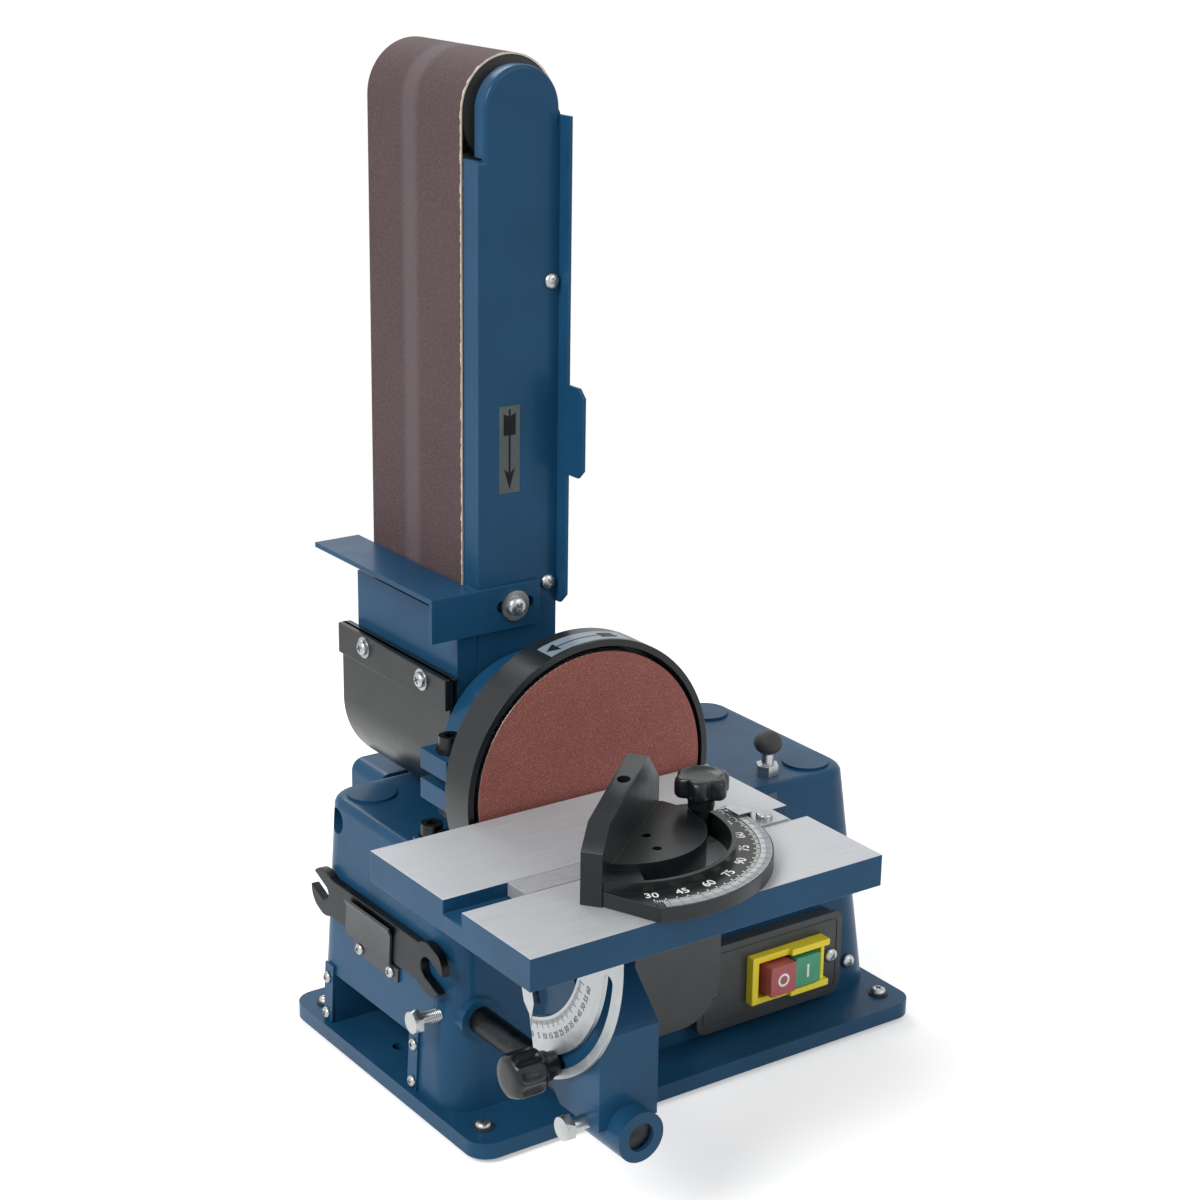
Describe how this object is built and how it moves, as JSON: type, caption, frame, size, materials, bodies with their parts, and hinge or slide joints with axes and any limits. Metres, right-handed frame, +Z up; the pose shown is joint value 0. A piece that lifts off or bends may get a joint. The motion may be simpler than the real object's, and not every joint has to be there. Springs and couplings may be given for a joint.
{
  "type": "benchtop belt and disc sander",
  "caption": "Benchtop sander with an upright belt arm, a guarded disc, a tilting table with mitre gauge, a switch panel and a hollow base.",
  "frame": {"origin": "on the bench, under the middle of the base plate and of its bolt pattern", "axes": "+X to the right along the front, +Y from the disc to the back, +Z up"},
  "size_m": [0.3905, 0.3858, 0.608],
  "materials": {
    "blue_paint": "hammered gloss paint",
    "black_plastic": "fine matt grain",
    "zinc": "bright zinc plate",
    "black_steel": "blackened, satin",
    "steel": "ground",
    "rubber": "matt",
    "aluminium": "milled, satin",
    "cast_grey": "satin paint",
    "abrasive": "coarse grit on cloth",
    "yellow_plastic": "moulded gloss",
    "red_plastic": "moulded gloss",
    "green_plastic": "moulded gloss"
  },
  "bodies": {
    "base": {"base_plate": "blue_paint", "rubber_feet": "rubber", "foot_washers": "rubber", "foot_screws": "zinc", "housing": "blue_paint", "side_brackets": "blue_paint", "side_screws": "zinc", "spanner_clip": "black_plastic", "rod_clamp_bolt": "zinc", "switch_panel": "black_plastic", "panel_screws": "zinc", "switch_frame": "yellow_plastic", "drive_cover": "blue_paint", "cover_screws": "zinc", "motor": "cast_grey", "drive_belt": "rubber", "pedestal": "blue_paint", "pedestal_screws": "black_steel", "clamp_screw": "black_steel", "disc_guard": "black_plastic", "dust_chute": "black_plastic", "disc_guard_screws": "zinc", "stop_stud": "zinc", "stop_bumper": "rubber"},
    "belt_arm": {"arm_frame": "blue_paint", "platen": "steel", "stop_plate": "blue_paint", "arm_screws": "zinc", "lower_cover": "blue_paint", "drum_guard": "black_plastic", "sanding_belt": "abrasive", "bearings": "steel", "stop_bolt": "zinc"},
    "spindle": {"spindle_shaft": "steel", "disc_plate": "aluminium", "abrasive_disc": "abrasive", "drive_drum": "rubber", "spindle_pulley": "steel"},
    "rotor": {"motor_rotor": "steel"},
    "fork": {"tension_fork": "steel", "idler_axle": "steel"},
    "idler": {"idler_drum": "rubber"},
    "tension_lever": {"tension_lever": "black_plastic"},
    "tracking_knob": {"tracking_knob": "black_plastic"},
    "work_stop": {"work_stop": "blue_paint"},
    "table_rod": {"table_rod": "black_steel"},
    "bracket": {"table_bracket": "blue_paint", "bracket_bolts": "zinc", "tilt_pointer": "steel"},
    "table": {"table": "aluminium", "tilt_quadrant": "steel"},
    "tilt_knob": {"tilt_knob": "black_plastic"},
    "mitre_bar": {"mitre_bar": "steel", "mitre_pointer": "steel"},
    "mitre_head": {"mitre_head": "black_plastic", "mitre_scale": "steel"},
    "mitre_knob": {"mitre_knob": "black_plastic"},
    "off_button": {"off_button": "red_plastic"},
    "on_button": {"on_button": "green_plastic"},
    "spanner": {"spanner": "black_steel"}
  },
  "joints": [
    {"name": "arm_swing", "type": "hinge", "parent": "base", "child": "belt_arm", "pos_m": [-0.08, 0, 0.214], "axis": [0, 1, 0], "range_deg": [0, 90]},
    {"name": "spindle_spin", "type": "hinge", "parent": "base", "child": "spindle", "pos_m": [-0.08, 0, 0.214], "axis": [0, 1, 0], "continuous": true},
    {"name": "motor_spin", "type": "hinge", "parent": "base", "child": "rotor", "pos_m": [0.062, 0, 0.082], "axis": [0, 1, 0], "continuous": true},
    {"name": "belt_tension", "type": "slide", "parent": "belt_arm", "child": "fork", "axis": [0, 0, -1], "range_m": [0, 0.008]},
    {"name": "idler_spin", "type": "hinge", "parent": "fork", "child": "idler", "pos_m": [-0.08, 0, 0.577], "axis": [0, 1, 0], "continuous": true},
    {"name": "tension_lever_turn", "type": "hinge", "parent": "belt_arm", "child": "tension_lever", "pos_m": [-0.08, 0, 0.487], "axis": [0, 1, 0], "range_deg": [0, 180]},
    {"name": "tracking_turn", "type": "hinge", "parent": "fork", "child": "tracking_knob", "pos_m": [-0.08, 0, 0.553], "axis": [0, 1, 0], "range_deg": [-180, 180]},
    {"name": "work_stop_slide", "type": "slide", "parent": "belt_arm", "child": "work_stop", "axis": [-1, 0, 0], "range_m": [0, 0.008]},
    {"name": "rod_slide", "type": "slide", "parent": "base", "child": "table_rod", "axis": [0, -1, 0], "range_m": [0, 0.04]},
    {"name": "bracket_slide", "type": "slide", "parent": "table_rod", "child": "bracket", "axis": [0, -1, 0], "range_m": [0, 0.015]},
    {"name": "table_tilt", "type": "hinge", "parent": "bracket", "child": "table", "pos_m": [-0.138, -0.142, 0.174], "axis": [1, 0, 0], "range_deg": [0, 45]},
    {"name": "tilt_knob_turn", "type": "hinge", "parent": "bracket", "child": "tilt_knob", "pos_m": [-0.1606, -0.17926, 0.0976], "axis": [-1, 0, 0], "range_deg": [-180, 180]},
    {"name": "mitre_slide", "type": "slide", "parent": "table", "child": "mitre_bar", "axis": [1, 0, 0], "range_m": [-0.1, 0.06]},
    {"name": "mitre_swing", "type": "hinge", "parent": "mitre_bar", "child": "mitre_head", "pos_m": [-0.12, -0.18125, 0.207], "axis": [0, 0, 1], "range_deg": [-5, 97]},
    {"name": "mitre_knob_turn", "type": "hinge", "parent": "mitre_bar", "child": "mitre_knob", "pos_m": [-0.068, -0.18125, 0.207], "axis": [0, 0, 1], "range_deg": [-180, 180]},
    {"name": "off_button_push", "type": "slide", "parent": "base", "child": "off_button", "axis": [0, 1, 0], "range_m": [0, 0.003], "stiffness_N_per_m": 400},
    {"name": "on_button_push", "type": "slide", "parent": "base", "child": "on_button", "axis": [0, 1, 0], "range_m": [0, 0.002], "stiffness_N_per_m": 400},
    {"name": "spanner_lift", "type": "slide", "parent": "base", "child": "spanner", "axis": [0.051, 0, 0.9987], "range_m": [0, 0.04]}
  ],
  "couplings": [
    {"joint": "motor_spin", "follows": "spindle_spin", "ratio": 1},
    {"joint": "idler_spin", "follows": "spindle_spin", "ratio": 1},
    {"joint": "tension_lever_turn", "follows": "belt_tension", "rad_per_m": 392.7}
  ]
}
